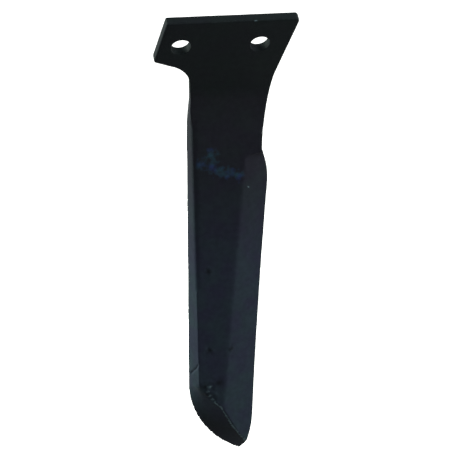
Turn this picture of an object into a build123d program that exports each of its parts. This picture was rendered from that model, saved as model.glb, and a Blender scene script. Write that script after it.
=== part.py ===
from build123d import *
import os
from math import asin, atan2, cos, degrees, radians, sin, tan

# Soil tine for a power harrow, drop forged in one piece from spring steel.
# A thin flange with two bolt holes sits flat against the rotor. Below it the
# metal bends forward and thickens into a long blade. The blade has a bevelled
# leading edge, a drafted trailing side and a curved end bevelled to a point.
#
# Frame: the origin is midway between the bolt holes on the seat face, which is
# the back of the flange. X runs along the holes, Y points out of the seat face
# and Z points up the flange. Lengths are in millimetres, angles in degrees.
# Names that end in "down" are distances down the front face of the blade from
# the bend line, where the flat fronts of the flange and the blade would meet.
# Names that end in "up" are distances up the same face from the tip.

# Flange
flange_thickness = 6.5
flange_top = 20.7                # hole line to top edge
top_left_x = -35.5
top_right_x = 47.8
ear_tip_x = -41.2                # lower outer corner of the left ear
ear_tip_z = -12.5
ear_slope = 22.8                 # fall of the ear's lower edge
ear_root_radius = 20.0           # from the ear into the neck
right_edge_slope = 10.6          # the right edge leans in on its way down
right_edge_bottom_z = -29.0
turn_radius = 60.0               # where an edge changes its slope on the way down
corner_rounding = 0.8            # left by the forging dies, on the flange and neck
top_left_radius = 1.2
top_right_radius = 2.2
ear_tip_radius = 1.8

# Bolt holes
hole_spacing = 50.0
hole_diameter = 12.5
hole_chamfer = 0.25

# Neck and bend
neck_left_x = -14.7              # the neck is narrowest here
neck_left_z = -50.5
neck_left_slope = 5.9            # the left side leans in down to there
neck_flare = 1.6                 # and out again below
neck_right_x = 34.7
neck_straight_down = 28.0        # the right side stops narrowing here
neck_thickness = 9.5             # at the lower end of the bend
bend_start_z = -33.0             # where the front of the flange begins to curve
bend_angle = 30.0
bend_radius = 70.0               # front, on the hollow side

# Blade
blade_length = 280.4             # bend line to tip
thickness_growth = 0.0143        # added thickness for each millimetre down
shoulder_down = 36.0             # the leading edge steps out from here
widest_down = 60.0
widest_x = 40.4
waist_down = 156.0
waist_x = 36.5
lead_end_up = 32.2               # the leading edge turns in towards the tip here
lead_end_x = 34.5
tip_x = 26.0

# Drafted trailing side: its front corner stands in from its back corner
fade_start_z = -48.0             # the draft fades in from here
trail_top_x = -15.3              # back corner, at the lower end of the bend
draft_inset = 2.2
trail_end_up = 61.2              # back corner, where the curved end begins
trail_end_x = -12.9

# Bevelled end, from a straight crest on the front to the curved back edge
crest_left_up = 63.2
crest_left_x = -7.2
crest_right_up = 7.7             # past the leading edge
crest_right_x = 45.5
crest_rounding = 0.8

# Leading edge bevel
bevel_top_down = 37.0
bevel_top_x = 23.2
bevel_low_up = 45.2
bevel_low_x = 11.2
bevel_angle = 18.0
bevel_scoop_radius = 5.0

clear = 15.0                     # how far the cutting shapes run past the metal
fade_clearance = 0.15

# Side view. On each side the flat of the flange and the flat of the blade are
# two lines that meet at a bend line, and the bend is their fillet.
lean = radians(bend_angle)
tangent_length = bend_radius * tan(lean / 2)
bend_line_z = bend_start_z - tangent_length
line_thickness = neck_thickness - thickness_growth * tangent_length


def front_point(down):
    return (-flange_thickness - down * sin(lean), bend_line_z - down * cos(lean))


def back_point(down):
    y, z = front_point(down)
    depth = line_thickness + thickness_growth * down
    return (y + depth * cos(lean), z - depth * sin(lean))


end_down = blade_length + clear
lead_end_down = blade_length - lead_end_up
trail_end_down = blade_length - trail_end_up
crest_left_down = blade_length - crest_left_up
crest_right_down = blade_length - crest_right_up
bevel_low_down = blade_length - bevel_low_up
back_y, back_z = back_point(0)
end_y, end_z = back_point(end_down)
back_slope = (end_y - back_y) / (end_z - back_z)
back_bend_line_z = back_z - back_y / back_slope
back_bend_radius = bend_radius + neck_thickness

front_plane = Plane((0, *front_point(0)), x_dir=(1, 0, 0), z_dir=(0, -cos(lean), sin(lean)))
back_plane = Plane(
    (0, back_y, back_z), x_dir=(1, 0, 0), z_dir=(0, -1, back_slope)
)

# Front view. The neck and the blade overlap between these two stations, where
# the right sides run on in one line.
overlap_top_down = (neck_straight_down + shoulder_down) / 2
neck_bottom_z = back_point(shoulder_down)[1]
right_turn_x = top_right_x - (flange_top - right_edge_bottom_z) * tan(radians(right_edge_slope))
fall = tan(radians(ear_slope))
lean_in = tan(radians(neck_left_slope))
ear_line_z = ear_tip_z + ear_tip_x * fall
ear_root_x = (neck_left_x - (ear_line_z - neck_left_z) * lean_in) / (1 - fall * lean_in)
ear_root_z = ear_line_z - ear_root_x * fall
blade_left_x = neck_left_x - (neck_left_z - neck_bottom_z) * tan(radians(neck_flare))
neck_straight_z = bend_line_z - neck_straight_down * cos(lean)
depth_reach = clear - front_point(shoulder_down)[0]
rounded_corners = [
    ((top_left_x, flange_top), top_left_radius),
    ((ear_tip_x, ear_tip_z), ear_tip_radius),
    ((ear_root_x, ear_root_z), ear_root_radius),
    ((neck_left_x, neck_left_z), turn_radius),
    ((right_turn_x, right_edge_bottom_z), turn_radius),
    ((neck_right_x, neck_straight_z), turn_radius),
    ((top_right_x, flange_top), top_right_radius),
]

# Outside the blade's trailing side and end. Both outlines run down the side and
# across the end, and the ruled faces between them are the draft and the bevel.
end_chord = Vector(tip_x - trail_end_x, trail_end_down - blade_length)
end_radius = end_chord.length**2 / (2 * end_chord.X)
with BuildPart() as end_waste:
    with BuildSketch(front_plane):
        with BuildLine():
            side = Line(
                (trail_top_x + draft_inset, -tangent_length), (crest_left_x, -crest_left_down)
            )
            crest = Line(side @ 1, (crest_right_x, -crest_right_down))
            Polyline(
                crest @ 1,
                (crest_right_x, -end_down),
                (neck_left_x - clear, -end_down),
                (neck_left_x - clear, -tangent_length),
                side @ 0,
            )
        make_face()
    with BuildSketch(back_plane):
        with BuildLine():
            side = Line((trail_top_x, -tangent_length), (trail_end_x, -trail_end_down))
            sweep_in = JernArc(side @ 1, (0, -1), end_radius, 90)
            Polyline(
                sweep_in @ 1,
                ((sweep_in @ 1).X, -end_down),
                (neck_left_x - clear, -end_down),
                (neck_left_x - clear, -tangent_length),
                side @ 0,
            )
        make_face()
    loft(ruled=True)

# The draft fades out through the bend: a wedge that tapers from the top of that
# shape to a point on the front face, beside the neck.
fade_start_x = neck_left_x - (fade_start_z - neck_left_z) * lean_in - fade_clearance
fade_turn = asin((bend_start_z - fade_start_z) / bend_radius)
fade_start_y = -flange_thickness - bend_radius * (1 - cos(fade_turn))
with BuildPart() as fade_waste:
    top_face = end_waste.faces().sort_by(Axis.Z)[-1]
    loft([top_face, Vertex(fade_start_x, fade_start_y, fade_start_z)])

# Above the leading edge's bevel, which ends in a hollow scoop at the shoulder
bevel_skew = degrees(atan2(bevel_top_x - bevel_low_x, bevel_low_down - bevel_top_down))
crest_location = Location((bevel_top_x, -bevel_top_down, 0), (0, 0, -bevel_skew))
bevel_plane = Plane(front_plane.location * crest_location * Location((0, 0, 0), (0, bevel_angle, 0)))
with BuildPart() as bevel_waste:
    with BuildSketch(
        Plane(bevel_plane.origin, x_dir=bevel_plane.y_dir, z_dir=bevel_plane.x_dir)
    ):
        with BuildLine():
            floor = FilletPolyline(
                (0, clear), (0, 0), (-end_down, 0), radius=bevel_scoop_radius
            )
            Polyline(floor @ 1, (-end_down, clear), floor @ 0)
        make_face()
    extrude(amount=widest_x + clear)

with BuildPart() as tine:
    # Flange and neck in front view
    with BuildSketch(Plane.XZ):
        with BuildLine():
            Polyline(
                (top_left_x, flange_top),
                (ear_tip_x, ear_tip_z),
                (ear_root_x, ear_root_z),
                (neck_left_x, neck_left_z),
                (blade_left_x, neck_bottom_z),
                (neck_right_x, neck_bottom_z),
                (neck_right_x, neck_straight_z),
                (right_turn_x, right_edge_bottom_z),
                (top_right_x, flange_top),
                close=True,
            )
        make_face()
        for corner, radius in rounded_corners:
            fillet(vertices().sort_by_distance(corner)[0], radius)
    extrude(amount=depth_reach, both=True)

    # Blade, square to its own front face
    with BuildSketch(front_plane):
        with BuildLine():
            neck_side = Line((neck_right_x, -overlap_top_down), (neck_right_x, -shoulder_down))
            shoulder = TangentArc(
                (widest_x, -widest_down), (neck_right_x, -shoulder_down), tangent=(0, 1)
            )
            edge = ThreePointArc(
                (widest_x, -widest_down), (waist_x, -waist_down), (lead_end_x, -lead_end_down)
            )
            turn_in = TangentArc(
                (lead_end_x, -lead_end_down), (tip_x, -blade_length), tangent=(0, -1)
            )
            past_tip = Line(turn_in @ 1, turn_in @ 1 + (turn_in % 1) * clear)
            Polyline(
                past_tip @ 1,
                (blade_left_x, (past_tip @ 1).Y),
                (blade_left_x, -overlap_top_down),
                neck_side @ 0,
            )
        make_face()
    extrude(amount=depth_reach, both=True)

    # Side view
    with BuildSketch(Plane.YZ):
        with BuildLine():
            front_line = FilletPolyline(
                (-flange_thickness, flange_top + clear),
                (-flange_thickness, bend_line_z),
                front_point(end_down),
                radius=bend_radius,
            )
            back_line = FilletPolyline(
                (0, flange_top + clear),
                (0, back_bend_line_z),
                (end_y, end_z),
                radius=back_bend_radius,
            )
            Line(front_line @ 0, back_line @ 0)
            Line(front_line @ 1, back_line @ 1)
        make_face()
    extrude(amount=abs(top_right_x) + abs(ear_tip_x), both=True, mode=Mode.INTERSECT)

    # The corners all round the flange and down the neck are one chain, which
    # runs on from the flange's top edges.
    fillet(edges().group_by(Axis.Z)[-1], corner_rounding)

    add(fade_waste.part, mode=Mode.SUBTRACT)
    add(end_waste.part, mode=Mode.SUBTRACT)
    add(bevel_waste.part, mode=Mode.SUBTRACT)

    # The crest of the end is worn round
    crest_corner = front_plane.from_local_coords((bevel_low_x, -bevel_low_down, 0))
    end_face = faces().filter_by(GeomType.BSPLINE).sort_by(Axis.Z)[0]
    fillet(end_face.edges().sort_by_distance(crest_corner)[:2], crest_rounding)

    # Bolt holes
    with BuildSketch(Plane.XZ):
        with GridLocations(hole_spacing, 0, 2, 1):
            Circle(hole_diameter / 2)
    extrude(amount=flange_thickness + clear, both=True, mode=Mode.SUBTRACT)
    rims = edges().filter_by(GeomType.CIRCLE)
    chamfer([rim for rim in rims if rim.is_closed], hole_chamfer)

os.makedirs("parts", exist_ok=True)
tine.part.label = "tine"
export_step(tine.part, "parts/tine.step")
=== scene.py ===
from math import cos, exp, radians, sin, tan

import bmesh
import bpy
from mathutils import Matrix, Vector, kdtree, noise


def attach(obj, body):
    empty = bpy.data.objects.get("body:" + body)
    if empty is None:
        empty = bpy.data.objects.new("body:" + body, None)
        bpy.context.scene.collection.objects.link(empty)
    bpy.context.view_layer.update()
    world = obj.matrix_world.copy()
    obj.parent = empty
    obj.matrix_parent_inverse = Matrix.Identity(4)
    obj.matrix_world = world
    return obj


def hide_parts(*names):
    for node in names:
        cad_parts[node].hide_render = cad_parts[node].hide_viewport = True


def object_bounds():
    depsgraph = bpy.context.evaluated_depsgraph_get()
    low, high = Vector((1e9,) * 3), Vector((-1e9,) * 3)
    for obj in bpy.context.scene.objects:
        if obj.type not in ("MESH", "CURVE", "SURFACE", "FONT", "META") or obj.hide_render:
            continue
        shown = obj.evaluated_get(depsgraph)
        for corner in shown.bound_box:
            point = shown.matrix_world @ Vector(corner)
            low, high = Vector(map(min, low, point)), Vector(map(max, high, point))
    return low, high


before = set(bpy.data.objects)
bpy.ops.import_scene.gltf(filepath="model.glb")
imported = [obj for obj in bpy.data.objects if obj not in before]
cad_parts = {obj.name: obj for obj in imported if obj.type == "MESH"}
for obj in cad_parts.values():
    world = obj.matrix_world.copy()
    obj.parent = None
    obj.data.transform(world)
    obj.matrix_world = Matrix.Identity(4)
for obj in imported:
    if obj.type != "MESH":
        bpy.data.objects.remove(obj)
cad_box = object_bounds()

# The forged tine: one bar of spring steel, drop forged to shape while red hot, with the
# flange pressed flat, the bolt holes punched and the end ground to its crest. It is
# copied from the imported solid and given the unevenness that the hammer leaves.

mm = 0.001
bolt_spacing = 50 * mm
bore_radius = 6.25 * mm
bore_chamfer = 0.25 * mm
flange_thickness = 6.5 * mm
skin_pitch = 0.5 * mm
real_edge_angle = radians(7)
edge_keep = 0.7 * mm
broad_start = 2.2 * mm
broad_passes = 40
edge_passes = 4
kept_share = 0.36


def linked(name, mesh):
    """A new object with that mesh, at the origin."""
    piece = bpy.data.objects.new(name, mesh)
    bpy.context.scene.collection.objects.link(piece)
    return piece


def apply_modifiers(piece):
    """Turns what the modifiers show into the piece's own mesh."""
    seen = bpy.context.evaluated_depsgraph_get()
    mesh = bpy.data.meshes.new_from_object(piece.evaluated_get(seen))
    piece.modifiers.clear()
    piece.vertex_groups.clear()
    piece.data = mesh


# The blank is the solid with its bolt holes filled, because they are punched last.
blank_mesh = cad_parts["tine"].data.copy()
blank_mesh.materials.clear()
work = bmesh.new()
work.from_mesh(blank_mesh)
bmesh.ops.remove_doubles(work, verts=work.verts, dist=0.001 * mm)

def distance_to_path(place, path):
    """The shortest way from a place to a line of straight stretches."""
    shortest = 1.0
    for start, end in zip(path, path[1:]):
        along = end - start
        share = min(1, max(0, (place - start).dot(along) / along.length_squared))
        shortest = min(shortest, (place - start - along * share).length)
    return shortest


# The bevel's crest, the upper stretch of the trailing corner and the beaten corner of the
# end are soft, so they are left out of the edges that the easing spares.
soft_paths = [
    [Vector(p) * mm for p in ((22.5, -31.0, -94.0), (14.3, -105.0, -223.0), (11.2, -124.0, -256.0))],
    [Vector(p) * mm for p in ((-13.0, -15.0, -64.0), (-9.0, -75.0, -170.0))],
    [Vector(p) * mm for p in ((-5.5, -114.5, -240.0), (3.0, -120.3, -250.4))],
]
soft_reach = 3 * mm

# Points along the solid's edges, to tell them from the facets of its curved faces.
edge_points = []
for edge in work.edges:
    if edge.is_manifold and edge.calc_face_angle() > real_edge_angle:
        low, high = (v.co for v in edge.verts)
        steps = max(1, round((high - low).length / skin_pitch))
        for step in range(steps):
            point = low.lerp(high, (step + 0.5) / steps)
            if all(distance_to_path(point, path) > soft_reach for path in soft_paths):
                edge_points.append(point)
edges_of_solid = kdtree.KDTree(len(edge_points))
for index, point in enumerate(edge_points):
    edges_of_solid.insert(point, index)
edges_of_solid.balance()

turn_to_bore = Matrix.Rotation(radians(90), 4, "X")
for side in (-1, 1):
    middle = Vector((side * bolt_spacing / 2, -flange_thickness / 2, 0))
    bmesh.ops.create_cone(
        work,
        cap_ends=True,
        segments=48,
        radius1=bore_radius + 2 * mm,
        radius2=bore_radius + 2 * mm,
        depth=flange_thickness,
        matrix=Matrix.Translation(middle) @ turn_to_bore,
    )
work.to_mesh(blank_mesh)
work.free()
tine = linked("forged_tine", blank_mesh)
remesh = tine.modifiers.new("even_skin", "REMESH")
remesh.mode = "VOXEL"
remesh.voxel_size = skin_pitch
apply_modifiers(tine)

# The broad faces are eased flat of their facets and the edges are only just rounded.
broad = tine.vertex_groups.new(name="broad_faces")
for vert in tine.data.vertices:
    to_edge = edges_of_solid.find(vert.co)[2]
    share = (to_edge - edge_keep) / (broad_start - edge_keep)
    if share > 0:
        broad.add([vert.index], min(1, share), "REPLACE")
for name, passes, group in (
    ("broad_easing", broad_passes, "broad_faces"),
    ("edge_easing", edge_passes, ""),
):
    easing = tine.modifiers.new(name, "SMOOTH")
    easing.factor = 0.5
    easing.iterations = passes
    easing.vertex_group = group
apply_modifiers(tine)

# Hammer marks are long and shallow, scale pits are small. Each is (size, height).
hammer_waves = (22 * mm, 0.10 * mm)
scale_grain = (4 * mm, 0.035 * mm)

# Rough places, each as centre, radius, size of its lumps, and their height.
rough_places = [
    (Vector((0.6, -115.0, -239.6)) * mm, 9 * mm, 3.2 * mm, 0.6 * mm),
    (Vector((2.0, -118.5, -247.0)) * mm, 8 * mm, 3.0 * mm, 0.5 * mm),
    (Vector((-1.3, -68.3, -158.8)) * mm, 5 * mm, 2.6 * mm, 0.35 * mm),
    (Vector((0.1, -99.7, -213.1)) * mm, 6 * mm, 2.6 * mm, 0.35 * mm),
    (Vector((16.2, -99.3, -213.8)) * mm, 5 * mm, 2.6 * mm, 0.35 * mm),
]

# Corners that were beaten down, each as path, half width and depth.
beaten_paths = [
    ([Vector(p) * mm for p in ((-7.2, -115.1, -239.8), (2.6, -120.2, -248.8))], 2.6 * mm, 0.75 * mm),
    ([Vector(p) * mm for p in ((-12.3, -13.5, -63.9), (-9.2, -74.8, -170.0))], 1.8 * mm, 0.35 * mm),
]

# A cold shut crosses the trailing side, from the front edge to the back.
nick_path = [Vector(p) * mm for p in ((-7.6, -104.6, -223.6), (-8.9, -104.8, -228.1), (-11.6, -103.1, -237.2))]
nick_depth = 0.7 * mm
nick_half_width = 0.8 * mm


def height_of_skin(place):
    """How far the forged skin stands off the true shape at a place."""
    wave_size, wave_height = hammer_waves
    grain_size, grain_height = scale_grain
    height = wave_height * noise.noise(place / wave_size)
    height += grain_height * noise.noise(place / grain_size)
    for centre, radius, lump_size, lump_height in rough_places:
        away = (place - centre).length / radius
        if away < 2:
            height += lump_height * exp(-away * away * 2) * noise.noise(place / lump_size)
    for path, half_width, depth in beaten_paths:
        off_path = distance_to_path(place, path) / half_width
        if off_path < 3:
            height -= depth * exp(-off_path * off_path)
    off_nick = distance_to_path(place, nick_path) / nick_half_width
    if off_nick < 3:
        height -= nick_depth * exp(-off_nick * off_nick)
    return height


work = bmesh.new()
work.from_mesh(tine.data)
work.normal_update()
moves = [v.normal * height_of_skin(v.co) for v in work.verts]
for vert, move in zip(work.verts, moves):
    vert.co += move
work.to_mesh(tine.data)
work.free()

# The punch: a pin with a flare at both ends, which leaves each hole a small chamfer.
pin_ends = [
    (0, 2 * mm),
    (bore_radius + bore_chamfer + 2 * mm, 2 * mm),
    (bore_radius, -bore_chamfer),
    (bore_radius, bore_chamfer - flange_thickness),
    (bore_radius + bore_chamfer + 2 * mm, -flange_thickness - 2 * mm),
    (0, -flange_thickness - 2 * mm),
]
work = bmesh.new()
for side in (-1, 1):
    middle = Vector((side * bolt_spacing / 2, 0, 0))
    rim = [work.verts.new(middle + Vector((out, depth, 0))) for out, depth in pin_ends]
    line = [work.edges.new(pair) for pair in zip(rim, rim[1:])]
    bmesh.ops.spin(
        work, geom=rim + line, cent=middle, axis=(0, 1, 0), angle=radians(360), steps=64, use_merge=True
    )
bmesh.ops.remove_doubles(work, verts=work.verts, dist=0.001 * mm)
bmesh.ops.recalc_face_normals(work, faces=work.faces)
punch_mesh = bpy.data.meshes.new("punch")
work.to_mesh(punch_mesh)
work.free()
punch = linked("punch", punch_mesh)

thinning = tine.modifiers.new("thinning", "DECIMATE")
thinning.ratio = kept_share
punching = tine.modifiers.new("punching", "BOOLEAN")
punching.operation = "DIFFERENCE"
punching.solver = "EXACT"
punching.object = punch
apply_modifiers(tine)
bpy.data.objects.remove(punch)
for face in tine.data.polygons:
    face.use_smooth = True
tine.data.set_sharp_from_angle(angle=radians(40))

# The paint: a thin dip coat of blue-black enamel over the forging scale. Satin and a little patchy where the
# scale shows through. Its colour also holds painted shade and painted sheen, and it is paler on the ground
# crest from wear and a painted highlight.


def linear(hex_colour):
    """An sRGB hex colour as the linear RGBA that Blender wants."""
    parts = [int(hex_colour[i : i + 2], 16) / 255 for i in (1, 3, 5)]
    return [c / 12.92 if c <= 0.04045 else ((c + 0.055) / 1.055) ** 2.4 for c in parts] + [1]


def add_node(tree, kind, values=(), links=(), **settings):
    """Adds one node with its settings, its sockets' own values and the links into it."""
    node = tree.nodes.new(kind)
    for name, value in settings.items():
        setattr(node, name, value)
    for socket, value in dict(values).items():
        node.inputs[socket].default_value = value
    for socket, source in dict(links).items():
        tree.links.new(source, node.inputs[socket])
    return node


# Where the paint is worn through: a path, its half width and how far through it is. The first path, along the
# end's crest, is a painted highlight as well as wear.
worn_and_highlit_paths = [
    (((4.2, -121.0, -251.4), (9.4, -123.9, -256.0), (18.0, -130.1, -272.6), (29.5, -135.6, -290.0)), 0.9, 1.0),
    (((1.0, -114.6, -239.0), (-0.6, -116.6, -242.5), (0.0, -118.4, -246.0), (4.2, -121.0, -251.4)), 2.0, 0.5),
    (((19.0, -6.1, 20.6), (20.0, -6.1, 20.6)), 0.7, 1.0),
    (((-4.6, -6.5, 14.6), (-4.0, -6.5, 14.4)), 0.6, 0.8),
    (((26.0, -36.6, -106.5), (26.2, -36.7, -107.0)), 0.8, 0.9),
]
# Painted sheen: blue patches of reflected light across the bend at the top of the blade, each as centre and
# radius.
painted_sheen_spots = [
    ((-0.5, -25.0, -84.0), 6.0),
    ((-7.0, -28.5, -90.0), 5.0),
    ((1.0, -29.0, -91.5), 7.0),
    ((6.5, -31.0, -95.0), 6.0),
    ((12.0, -31.8, -96.5), 6.5),
    ((19.0, -33.0, -98.0), 5.0),
]
# Painted shade: dark spots in the pits, where shade falls, each as centre and radius. The end's lower face,
# where it faces left, is painted darker as well, from the height below downwards.
painted_shade_spots = [
    ((-2.7, -114.4, -238.6), 2.6),
    ((-1.8, -117.9, -245.8), 2.6),
    ((7.5, -113.3, -237.0), 3.6),
    ((-1.3, -68.3, -158.8), 2.4),
    ((0.1, -99.7, -213.1), 2.4),
    ((16.2, -99.3, -213.8), 2.2),
]
shade_top = -256 * mm
shade_depth = 22 * mm


def wear_and_highlight(place):
    """How strong the worn paint and the crest's painted highlight are at a place, from 0 to 1."""
    most = 0
    for path, half_width, share in worn_and_highlit_paths:
        off = distance_to_path(place, [Vector(p) * mm for p in path]) / (half_width * mm)
        if off < 3:
            most = max(most, share * exp(-off * off))
    return most


def nearness(place, spots):
    """How near a place is to the nearest of some spots, from 0 to 1."""
    return max(exp(-(((place - Vector(c) * mm).length / (r * mm)) ** 2) * 1.5) for c, r in spots)


def shade_at(place, normal):
    """How much painted shade darkens a place, from 0 to 1."""
    on_end = min(1, max(0, (shade_top - place.z) / shade_depth)) * min(1, max(0, -normal.x * 4 - 0.4))
    return max(on_end, nearness(place, painted_shade_spots))


# Kept on each vertex: the worn paint with the crest's painted highlight, the painted sheen and the painted
# shade.
for name, strength_at in (
    ("worn_and_highlit", lambda vert: wear_and_highlight(vert.co)),
    ("painted_sheen", lambda vert: nearness(vert.co, painted_sheen_spots)),
    ("painted_shade", lambda vert: shade_at(vert.co, vert.normal)),
):
    values = [strength_at(vert) for vert in tine.data.vertices]
    tine.data.attributes.new(name, "FLOAT", "POINT").data.foreach_set("value", values)

enamel = bpy.data.materials.new("blue_black_enamel")
enamel.use_nodes = True
tree = enamel.node_tree
shader = tree.nodes["Principled BSDF"]
shader.inputs["Roughness"].default_value = 0.55
shader.inputs["Specular IOR Level"].default_value = 0.02
place = add_node(tree, "ShaderNodeTexCoord").outputs["Object"]
heights = add_node(tree, "ShaderNodeSeparateXYZ", links={0: place}).outputs["Z"]


def noise_of(size, detail):
    """A noise texture whose lumps have that size."""
    values = {"Scale": 1 / size, "Detail": detail}
    return add_node(tree, "ShaderNodeTexNoise", values, {"Vector": place}).outputs["Fac"]


def mixed(low, high, factor):
    """A mix of two colours, each a value or a socket."""
    values = {k: v for k, v in (("A", low), ("B", high)) if isinstance(v, list)}
    links = {k: v for k, v in (("A", low), ("B", high)) if not isinstance(v, list)}
    links["Factor"] = factor
    return add_node(tree, "ShaderNodeMix", values, links, data_type="RGBA").outputs["Result"]


def stretched(source, low, high, to_low=0.0, to_high=1.0):
    """That span of a value, drawn out to another."""
    values = {"From Min": low, "From Max": high, "To Min": to_low, "To Max": to_high}
    return add_node(tree, "ShaderNodeMapRange", values, {"Value": source}).outputs["Result"]


def attribute(name):
    """A value kept on the mesh."""
    return add_node(tree, "ShaderNodeAttribute", attribute_name=name).outputs["Fac"]


def sum_of(first, second):
    """The sum of two values."""
    return add_node(tree, "ShaderNodeMath", {}, {0: first, 1: second}).outputs[0]


# Painted shade: darkest on the flange, which faces down away from the light, and paler down the blade, which
# faces up towards it. The shift from greenish on the flange through warmest on the neck to blue lower down is
# the paint's own hue.
shade_and_tone_down = [
    (-38, "#131719"),
    (-50, "#1a1c20"),
    (-95, "#191b21"),
    (-160, "#1f242e"),
    (-300, "#212932"),
]
top, bottom = shade_and_tone_down[0][0], shade_and_tone_down[-1][0]
shade_ramp_node = add_node(tree, "ShaderNodeValToRGB", {}, {"Fac": stretched(heights, top * mm, bottom * mm)})
shade_ramp = shade_ramp_node.color_ramp
while len(shade_ramp.elements) < len(shade_and_tone_down):
    shade_ramp.elements.new(0.5)
for stop, (z, hex_colour) in zip(shade_ramp.elements, shade_and_tone_down):
    stop.position = (z - top) / (bottom - top)
    stop.color = linear(hex_colour)
patches = stretched(noise_of(16 * mm, 3.0), 0.38, 0.62, 0.475, 0.525)
grain = stretched(noise_of(3.5 * mm, 2.0), 0.3, 0.7, 0.9, 1.1)
colour = add_node(
    tree,
    "ShaderNodeHueSaturation",
    {},
    {"Hue": patches, "Value": grain, "Color": shade_ramp_node.outputs["Color"]},
).outputs["Color"]
# Painted sheen: blue patches of reflected light across the bend, broken up by noise.
sheen_amount = sum_of(attribute("painted_sheen"), stretched(noise_of(3 * mm, 2.0), 0.3, 0.7, -0.35, 0.35))
sheen_colour = mixed(linear("#212b49"), linear("#20343f"), stretched(noise_of(7 * mm, 1.0), 0.4, 0.6))
colour = mixed(colour, sheen_colour, stretched(sheen_amount, 0.36, 1.1, 0.0, 0.9))
# Painted shade: darker in the pits and on the end's lower, left-facing face.
colour = mixed(colour, linear("#0e1012"), stretched(attribute("painted_shade"), 0.0, 1.0, 0.0, 0.75))
# Pale where the paint is worn through, with a painted highlight along the end's crest.
wear_and_highlight_amount = sum_of(attribute("worn_and_highlit"), stretched(noise_of(2.2 * mm, 2.0), 0.3, 0.7, -0.35, 0.35))
colour = mixed(colour, linear("#52646a"), stretched(wear_and_highlight_amount, 0.35, 1.0, 0.0, 0.9))
tree.links.new(colour, shader.inputs["Base Color"])
tine.data.materials.clear()
tine.data.materials.append(enamel)

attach(tine, "root")
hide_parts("tine")

# The studio: a pale floor well below the hanging tine, soft boxes on both sides and
# overhead, and the camera where the photographer stood, above and to the left.

floor_drop = 600 * mm
floor_half = 12.0
floor_z = cad_box[0][2] - floor_drop
work = bmesh.new()
bmesh.ops.create_grid(work, x_segments=1, y_segments=1, size=floor_half)
bmesh.ops.translate(work, verts=work.verts, vec=(0, 0, floor_z))
floor_mesh = bpy.data.meshes.new("studio_floor")
work.to_mesh(floor_mesh)
work.free()
floor = bpy.data.objects.new("studio_floor", floor_mesh)
bpy.context.scene.collection.objects.link(floor)

paper = bpy.data.materials.new("white_paper")
paper.use_nodes = True
tree = paper.node_tree
tree.nodes.remove(tree.nodes["Principled BSDF"])
rays = add_node(tree, "ShaderNodeLightPath")
seen = add_node(
    tree,
    "ShaderNodeMath",
    links={0: rays.outputs["Is Camera Ray"], 1: rays.outputs["Is Glossy Ray"]},
    operation="MAXIMUM",
)
seen_through = add_node(
    tree,
    "ShaderNodeMath",
    links={0: seen.outputs[0], 1: rays.outputs["Is Transmission Ray"]},
    operation="MAXIMUM",
)
glow = add_node(
    tree,
    "ShaderNodeMath",
    {1: 1.0},
    {0: seen_through.outputs[0]},
    operation="MULTIPLY",
)
matt = add_node(tree, "ShaderNodeBsdfDiffuse", {"Color": (0.5, 0.5, 0.5, 1)})
lit = add_node(tree, "ShaderNodeEmission", links={"Strength": glow.outputs[0]})
both = add_node(tree, "ShaderNodeAddShader", links={0: matt.outputs[0], 1: lit.outputs[0]})
tree.links.new(both.outputs[0], tree.nodes["Material Output"].inputs["Surface"])
floor_mesh.materials.append(paper)

world = bpy.data.worlds.new("studio")
world.use_nodes = True
tree = world.node_tree
rays = add_node(tree, "ShaderNodeLightPath")
seen = add_node(
    tree,
    "ShaderNodeMath",
    links={0: rays.outputs["Is Camera Ray"], 1: rays.outputs["Is Glossy Ray"]},
    operation="MAXIMUM",
)
seen_through = add_node(
    tree,
    "ShaderNodeMath",
    links={0: seen.outputs[0], 1: rays.outputs["Is Transmission Ray"]},
    operation="MAXIMUM",
)
strength = add_node(
    tree,
    "ShaderNodeMapRange",
    {"From Min": 0.0, "From Max": 1.0, "To Min": 0.05, "To Max": 1.0},
    {"Value": seen_through.outputs[0]},
)
tree.links.new(strength.outputs["Result"], tree.nodes["Background"].inputs["Strength"])
tree.nodes["Background"].inputs["Color"].default_value = (1, 1, 1, 1)
bpy.context.scene.world = world

# Each lamp as name, compass angle from X towards Y, angle up, width, power in watts and
# colour. All stand 1 m from the blade's middle and face it.
lamps = [
    ("left_rear_box", 150, 10, 0.4, 30.0, (0.88, 1.0, 0.88)),
    ("right_box", 0, 10, 0.6, 17.0, (1.0, 1.0, 0.92)),
    ("right_rear_high_box", 30, 45, 0.6, 6.0, (0.9, 1.0, 1.0)),
    ("overhead_box", 300, 70, 0.6, 7.0, (1.0, 1.0, 1.0)),
]
lit_point = Vector((0, -0.06, -0.14))
for name, compass, up, width, power, tint in lamps:
    light = bpy.data.lights.new(name, "AREA")
    light.size = width
    light.energy = power
    light.color = tint
    lamp = bpy.data.objects.new(name, light)
    towards = Vector((cos(radians(compass)), sin(radians(compass)), tan(radians(up)))).normalized()
    lamp.location = lit_point + towards
    lamp.rotation_euler = towards.to_track_quat("Z", "Y").to_euler()
    bpy.context.scene.collection.objects.link(lamp)

lens = bpy.data.cameras.new("camera")
lens.sensor_width = 36
lens.lens = 102.87
camera = bpy.data.objects.new("camera", lens)
camera_right = Vector((0.9784, -0.1713, 0.1155))
camera_up = Vector((0.0725, 0.8081, 0.5845))
camera_back = camera_right.cross(camera_up)
turn = Matrix((camera_right, camera_up, camera_back)).transposed().to_4x4()
camera.matrix_world = Matrix.Translation((-0.1599, -0.5518, 0.5814)) @ turn
bpy.context.scene.collection.objects.link(camera)
bpy.context.scene.camera = camera
bpy.context.scene.view_settings.view_transform = "Standard"
